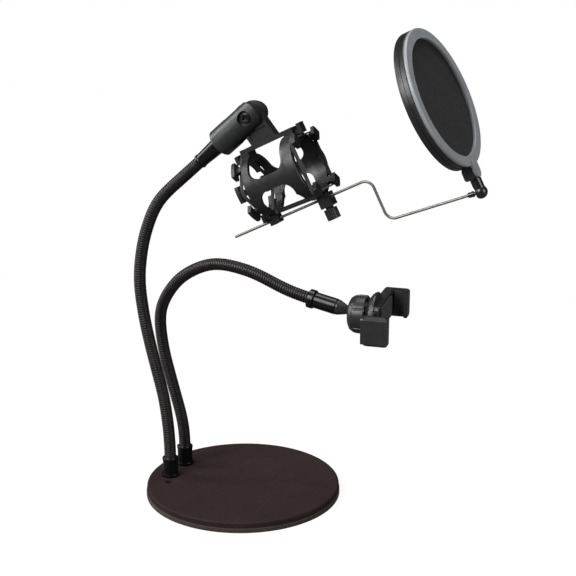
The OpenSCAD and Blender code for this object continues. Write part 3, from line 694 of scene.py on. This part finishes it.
def band(name, node, reach, corner, turn, z, hook_inside, width):
    """Square loop of elastic about the cage axis, narrowed at its corners by the hooks.

    reach is the axis to the inner face at a corner, corner the inner corner radius,
    hook_inside the radius where the hooks begin."""
    half = (reach - corner) / math.sqrt(2) + corner
    path = band_path(half + BAND_THICKNESS / 2, corner + BAND_THICKNESS / 2)
    points = []
    for x, y, outward in path:
        free = min(1, max(0, (hook_inside - 0.7 - math.hypot(x, y)) / 1.6))
        here = BAND_NARROW + (width - BAND_NARROW) * smoothstep(free)
        c, s = math.cos(rad(outward)), math.sin(rad(outward))
        points += [(x + out * c, y + out * s, z + across)
                   for across, out in band_section(here)]
    points = np.array(points)
    c, s = math.cos(rad(turn)), math.sin(rad(turn))
    points[:, :2] = points[:, :2] @ np.array([[c, s], [-s, c]])
    obj = new_mesh(name, to_world(cage_frame, points),
                   grid_faces(len(path), 2 * BAND_COLUMNS, closed=True), "elastic")
    face_outwards(obj, merge=True)
    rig.ride(obj, "cage")
    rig.replaces(obj, node)


band("rear_elastic", "rear_band", reach=REAR_HOOK_RADIUS + 0.85, corner=6, turn=45, z=-21.7,
     hook_inside=REAR_HOOK_RADIUS - 2.9, width=5.4)
band("front_elastic", "front_band", reach=FRONT_HOOK_RADIUS + 1.45, corner=3, turn=0, z=26.1,
     hook_inside=FRONT_HOOK_RADIUS - 3.1, width=5.0)

# ------------------------------------------------------------------ bent wire
WIRE_RADIUS = 1.0
WIRE_START, WIRE_STRAIGHT_END = -55, 54   # along the cage axis
WIRE_BEND = 7                             # centreline radius of both bends
WIRE_CROSS_RUN = 18.5                     # straight part between the bends
WIRE_LAST_BEND, WIRE_TAIL = rad(85), 64.4
WIRE_TIP = [(0.02, 0.0), (0.72, 0.0), (0.93, 0.08)]   # ring radius, shift inwards
WIRE_SIDES = 28


def wire_path():
    """Centreline in the cage's x and z."""
    bend = WIRE_BEND
    cross_x, cross_z = WIRE_OFFSET + bend, WIRE_STRAIGHT_END + bend
    last_x = cross_x + WIRE_CROSS_RUN
    path = [(WIRE_OFFSET, z) for z in np.linspace(WIRE_START, WIRE_STRAIGHT_END, 80)]
    path += [(cross_x - bend * math.cos(t), WIRE_STRAIGHT_END + bend * math.sin(t))
             for t in np.linspace(0, math.pi / 2, 25)[1:]]
    path += [(cross_x + q, cross_z) for q in np.linspace(0, WIRE_CROSS_RUN, 15)[1:]]
    path += [(last_x + bend * math.sin(t), cross_z + bend - bend * math.cos(t))
             for t in np.linspace(0, WIRE_LAST_BEND, 25)[1:]]
    end_x, end_z = path[-1]
    path += [(end_x + q * math.cos(WIRE_LAST_BEND), end_z + q * math.sin(WIRE_LAST_BEND))
             for q in np.linspace(0, WIRE_TAIL, 50)[1:]]
    return np.array(path)


def wire():
    """One smooth drawn rod with slightly rounded ends."""
    path = wire_path()
    tangent = np.gradient(path, axis=0)
    tangent /= np.linalg.norm(tangent, axis=1)[:, None]
    rings = [(0, radius, shift) for radius, shift in WIRE_TIP]
    rings += [(i, WIRE_RADIUS, 0.0) for i in range(1, len(path) - 1)]
    rings += [(-1, radius, -shift) for radius, shift in reversed(WIRE_TIP)]
    points = []
    for i, radius, shift in rings:
        tx, tz = tangent[i]
        x, z = path[i] + tangent[i] * shift
        for a in np.linspace(0, 2 * math.pi, WIRE_SIDES, endpoint=False):
            out = radius * math.cos(a)
            points.append((x + tz * out, radius * math.sin(a), z - tx * out))
    obj = new_mesh("wire_rod", to_world(cage_frame, points),
                   grid_faces(len(rings), WIRE_SIDES), "wire_chrome")
    face_outwards(obj)
    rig.ride(obj, "wire")
    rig.replaces(obj, "wire_arm")


wire()

# ------------------------------------------------------------------ filter fabric
FABRIC_RADIUS = 46.5
THREAD_PITCH = 1.3
THREAD_RELIEF = 0.11
RELIEF_FADE = 3.0         # the weave flattens over this width at the rim
FABRIC_LIFT = 0.2         # sheet above its seat


def fabric(name, node, seat_z):
    """Taut round sheet with a weave in relief."""
    step = THREAD_PITCH / 4
    count = int(FABRIC_RADIUS / step) + 1
    ticks = np.arange(-count, count + 1) * step
    x, y = np.meshgrid(ticks, ticks, indexing="ij")
    distance = np.hypot(x, y)
    weave = np.sin(math.pi * x / THREAD_PITCH) * np.sin(math.pi * y / THREAD_PITCH)
    fade = np.clip((FABRIC_RADIUS - distance) / RELIEF_FADE, 0, 1)
    z = seat_z + FABRIC_LIFT + THREAD_RELIEF * weave * fade
    keep = distance <= FABRIC_RADIUS
    index = np.full(x.shape, -1)
    index[keep] = np.arange(keep.sum())
    faces = []
    for i in range(len(ticks) - 1):
        for j in range(len(ticks) - 1):
            quad = (index[i, j], index[i + 1, j], index[i + 1, j + 1], index[i, j + 1])
            if min(quad) >= 0:
                faces.append(quad)
    points = np.stack([x, y, z], -1)[keep]
    obj = new_mesh(name, to_world(filter_frame, points), faces, "mesh_fabric")
    cloth = obj.modifiers.new("cloth", "SOLIDIFY")
    cloth.thickness = 0.16 * MM
    cloth.offset = 0
    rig.ride(obj, "filter")
    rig.replaces(obj, node)


fabric("front_fabric", "front_mesh", seat_z=0.2)
fabric("rear_fabric", "rear_mesh", seat_z=-5.15)


# ------------------------------------------------------------------ hard parts
def open_cad(node):
    bm = bmesh.new()
    bm.from_mesh(nodes[node].data)
    bmesh.ops.remove_doubles(bm, verts=bm.verts, dist=3e-6)
    return bm


def is_sharp(edge, degrees):
    return len(edge.link_faces) == 2 and edge.calc_face_angle(0) > rad(degrees)


def soften(node, width):
    """A copy of a CAD node's shape with rounded edges and even shading."""
    bm = open_cad(node)
    bmesh.ops.dissolve_limit(bm, angle_limit=rad(0.6), use_dissolve_boundaries=False,
                             verts=bm.verts, edges=bm.edges, delimit=set())
    before = np.array([v.co for v in bm.verts])
    low, high = before.min(0), before.max(0)
    edges = [e for e in bm.edges if is_sharp(e, 34)]
    # Guards against a bevel that fails or throws points off the CAD shape.
    try:
        bmesh.ops.bevel(bm, geom=edges, offset=width * MM, offset_type="OFFSET", segments=2,
                        profile=0.5, affect="EDGES", clamp_overlap=True, loop_slide=True)
        bmesh.ops.remove_doubles(bm, verts=bm.verts, dist=1e-6)
        after = np.array([v.co for v in bm.verts])
        sound = (np.isfinite(after).all() and (after.min(0) > low - 2e-4).all()
                 and (after.max(0) < high + 2e-4).all())
    except Exception:
        sound = False
    if not sound:
        bm.free()
        bm = open_cad(node)
    for edge in bm.edges:
        edge.smooth = not is_sharp(edge, 38)
    for face in bm.faces:
        face.smooth = True
    mesh = bpy.data.meshes.new(node + "_shell")
    bm.to_mesh(mesh)
    bm.free()
    obj = add_object(node + "_shell", mesh, slot_of[node])
    normals = obj.modifiers.new("wn", "WEIGHTED_NORMAL")
    normals.keep_sharp = True
    normals.weight = 60
    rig.ride(obj, body_of[node])
    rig.replaces(obj, node)


# CAD node: width of its rounded edges
EDGE_WIDTHS = {
    "neck1_collar": 0.3, "neck2_collar": 0.3, "neck1_sleeve": 0.25, "neck2_end_ring": 0.2,
    "neck2_end_sleeve": 0.25, "clip_barrel": 0.45, "pivot_screw": 0.2, "pivot_nut": 0.25,
    "shock_cage": 0.4, "thumb_screw": 0.25, "wire_ferrule": 0.15, "filter_stem": 0.3,
    "rim_rear": 0.35, "front_bezel": 0.35, "ball_stud": 0.25, "ball_socket": 0.25,
    "clamp_housing": 0.5, "lock_nut": 0.35, "clamp_cover": 0.35, "cover_screws": 0.12,
    "fixed_jaw_pad": 0.2, "back_pad": 0.3, "sliding_jaw": 0.5, "sliding_jaw_pad": 0.2,
    "rod_bridge": 0.25, "base_plate": 0.3,
}
for node, width in EDGE_WIDTHS.items():
    soften(node, width)


# ------------------------------------------------------------------ stage, in metres
def floor_paper():
    """Near-white to the camera, glowing to pure white far off; dark to all other rays."""
    sh = Shader("floor_paper")
    camera_ray = sh.node("ShaderNodeLightPath").outputs["Is Camera Ray"]
    paper = sh.mix(sh.patches(mm=900, detail=3), (0.86, 0.86, 0.865), (0.89, 0.89, 0.893))
    sh.surface(sh.mix(camera_ray, (0.13, 0.122, 0.118), paper), 0.9,
               {"Specular IOR Level": 0.1})
    glow = sh.node("ShaderNodeEmission")
    glow.inputs[0].default_value = (1, 1, 1, 1)
    distance = sh.node("ShaderNodeVectorMath", operation="LENGTH")
    sh.feed(distance.inputs[0], sh.coords)
    fade = sh.remap(distance.outputs["Value"], span=(0.12, 0.7), to=(0.86, 1.0))
    blend = sh.node("ShaderNodeMixShader")
    sh.feed(blend.inputs[0], sh.times(camera_ray, fade))
    sh.feed(blend.inputs[1], sh.bsdf.outputs[0])
    sh.feed(blend.inputs[2], glow.outputs[0])
    sh.feed(sh.output.inputs[0], blend.outputs[0])
    return sh.material


def studio_world(ambient, backdrop):
    """White surroundings: ambient strength for lighting, backdrop as the camera sees it."""
    world = bpy.data.worlds.new("studio")
    scene.world = world
    world.use_nodes = True
    tree = world.node_tree
    tree.nodes.clear()
    output = tree.nodes.new("ShaderNodeOutputWorld")
    blend = tree.nodes.new("ShaderNodeMixShader")
    rays = tree.nodes.new("ShaderNodeLightPath")
    tree.links.new(rays.outputs["Is Camera Ray"], blend.inputs[0])
    for i, strength in ((1, ambient), (2, backdrop)):
        background = tree.nodes.new("ShaderNodeBackground")
        background.inputs[0].default_value = (1, 1, 1, 1)
        background.inputs[1].default_value = strength
        tree.links.new(background.outputs[0], blend.inputs[i])
    tree.links.new(blend.outputs[0], output.inputs[0])


def area(name, location, target, size, power, size_y=None):
    light = bpy.data.lights.new(name, "AREA")
    light.energy = power
    light.size = size
    if size_y:
        light.shape = "RECTANGLE"
        light.size_y = size_y
    obj = bpy.data.objects.new(name, light)
    obj.location = location
    aim = Vector(target) - Vector(location)
    obj.rotation_euler = aim.to_track_quat("-Z", "Y").to_euler()
    scene.collection.objects.link(obj)


def camera(location, forward, right):
    data = bpy.data.cameras.new("camera")
    data.lens = 82.5
    data.sensor_width = 36
    data.clip_start, data.clip_end = 0.02, 60
    obj = bpy.data.objects.new("camera", data)
    scene.collection.objects.link(obj)
    obj.matrix_world = place(location, -unit(forward), right)
    scene.camera = obj


bpy.ops.mesh.primitive_plane_add(size=60, location=(0, 0, 0))
floor = bpy.context.object
floor.name = "floor"
set_material(floor, floor_paper())
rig.stage(floor)
studio_world(ambient=0.05, backdrop=1.0)
area("key", (-0.55, -1.25, 1.15), target=(0.03, 0, 0.2), size=1.05, power=42)
area("right", (1.5, -0.35, 0.8), target=(0.05, 0, 0.2), size=0.6, power=14, size_y=1.3)
area("top", (0.1, 0.4, 1.9), target=(0.05, 0, 0.1), size=0.9, power=18)
area("left", (-1.5, -0.2, 0.7), target=(0, 0, 0.2), size=0.5, power=18, size_y=1.2)
camera(location=(0.3997, -0.8726, 0.4432), forward=(-0.3676, 0.8876, -0.2777),
       right=(0.9239, 0.3827, 0))

bpy.context.view_layer.update()
visual_bounds = [list(v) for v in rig.bounds()]
with open("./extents.json", "w") as size_file:
    json.dump({"cad": cad_bounds, "visual": visual_bounds}, size_file)
